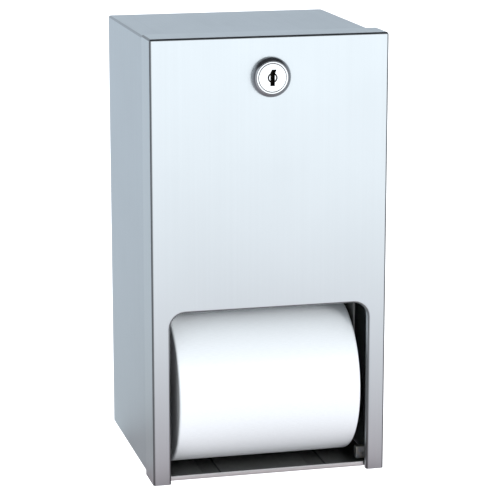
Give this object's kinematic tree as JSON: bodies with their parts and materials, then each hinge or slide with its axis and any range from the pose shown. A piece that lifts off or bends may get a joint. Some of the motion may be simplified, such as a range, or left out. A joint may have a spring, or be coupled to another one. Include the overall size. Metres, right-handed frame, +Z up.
{
  "type": "double roll toilet paper dispenser",
  "caption": "Wall-hung brushed steel toilet paper dispenser for stacked rolls, with a locking drop-front door and an open paper outlet at the bottom.",
  "frame": {"origin": "centre of the cabinet's back outer face, on the wall plane", "axes": "+Y into the wall, +Z up, +X to the right of someone facing the door"},
  "size_m": [0.15, 0.1495, 0.28],
  "materials": {
    "cabinet_steel": "satin",
    "door_steel": "satin",
    "inner_steel": "satin",
    "zinc_steel": "dull",
    "lock_chrome": "polished",
    "spindle_plastic": "matte",
    "core_board": "matte",
    "tissue": "matte"
  },
  "bodies": {
    "cabinet": {"cabinet_shell": "cabinet_steel", "floor_plate": "inner_steel", "left_guide_bracket": "inner_steel", "right_guide_bracket": "inner_steel", "left_hinge_block": "inner_steel", "right_hinge_block": "inner_steel", "left_bail_pivot_stud": "zinc_steel", "right_bail_pivot_stud": "zinc_steel", "left_bail_stop_stud": "zinc_steel", "right_bail_stop_stud": "zinc_steel", "lock_keeper": "inner_steel"},
    "door": {"door_panel": "door_steel", "left_hinge_pin": "zinc_steel", "right_hinge_pin": "zinc_steel", "lock_bezel": "lock_chrome", "lock_body": "lock_chrome", "lock_washer": "zinc_steel", "lock_nut": "zinc_steel"},
    "lock": {"lock_plug": "lock_chrome", "lock_cam": "zinc_steel", "cam_screw": "zinc_steel"},
    "lower_roll": {"lower_core": "core_board", "lower_paper_roll": "tissue"},
    "lower_spindle": {"lower_spindle": "spindle_plastic"},
    "upper_roll": {"upper_core": "core_board", "upper_paper_roll": "tissue"},
    "upper_spindle": {"upper_spindle": "spindle_plastic"},
    "release_bail": {"release_bail": "zinc_steel"}
  },
  "joints": [
    {"name": "door_hinge", "type": "hinge", "parent": "cabinet", "child": "door", "pos_m": [0, -0.1275, -0.1335], "axis": [1, 0, 0], "range_deg": [0, 130]},
    {"name": "lock_turn", "type": "hinge", "parent": "door", "child": "lock", "pos_m": [0, -0.145, 0.115], "axis": [0, -1, 0], "range_deg": [0, 90]},
    {"name": "lower_roll_spin", "type": "hinge", "parent": "cabinet", "child": "lower_roll", "pos_m": [0, -0.098, -0.0874], "axis": [1, 0, 0], "continuous": true},
    {"name": "lower_spindle_turn", "type": "hinge", "parent": "cabinet", "child": "lower_spindle", "pos_m": [0, -0.098, -0.0819], "axis": [1, 0, 0], "continuous": true},
    {"name": "upper_roll_spin", "type": "hinge", "parent": "cabinet", "child": "upper_roll", "pos_m": [0, -0.087, 0.0346], "axis": [1, 0, 0], "continuous": true},
    {"name": "upper_spindle_turn", "type": "hinge", "parent": "cabinet", "child": "upper_spindle", "pos_m": [0, -0.087, 0.0401], "axis": [1, 0, 0], "continuous": true},
    {"name": "release_bail_lift", "type": "hinge", "parent": "cabinet", "child": "release_bail", "pos_m": [0, -0.076, 0.0041], "axis": [-1, 0, 0], "range_deg": [0, 15]}
  ],
  "couplings": [
    {"joint": "lower_spindle_turn", "follows": "lower_roll_spin", "ratio": 1.4},
    {"joint": "upper_spindle_turn", "follows": "upper_roll_spin", "ratio": 1.4}
  ]
}
